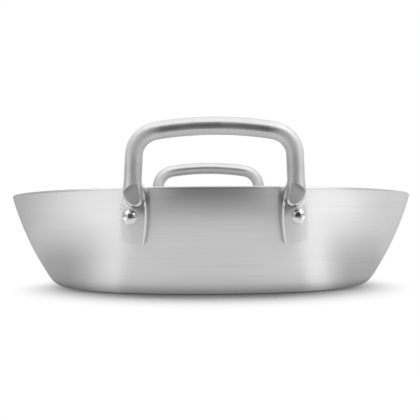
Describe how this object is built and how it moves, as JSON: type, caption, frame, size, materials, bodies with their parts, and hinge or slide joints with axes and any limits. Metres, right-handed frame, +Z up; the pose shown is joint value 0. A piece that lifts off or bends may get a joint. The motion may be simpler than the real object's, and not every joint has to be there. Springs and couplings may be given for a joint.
{
  "type": "frying pan",
  "caption": "Shallow round pan with a flat base, a flared wall and opposed upright loop handles riveted to its outside, for frying on a hob or in an oven.",
  "frame": {"origin": "middle of the underside, where the pan stands", "axes": "+Z up, out of the pan's mouth; +Y towards the rear handle, -Y towards the front handle; +X to the right"},
  "size_m": [0.34, 0.3846, 0.122],
  "materials": {
    "spun_aluminium": "satin, brushed round the pan",
    "rod_aluminium": "satin, tumbled",
    "rivet_aluminium": "polished"
  },
  "bodies": {
    "root": {"pan_body": "spun_aluminium", "front_handle": "rod_aluminium", "rear_handle": "rod_aluminium", "front_left_rivet": "rivet_aluminium", "front_right_rivet": "rivet_aluminium", "rear_left_rivet": "rivet_aluminium", "rear_right_rivet": "rivet_aluminium"}
  },
  "joints": []
}
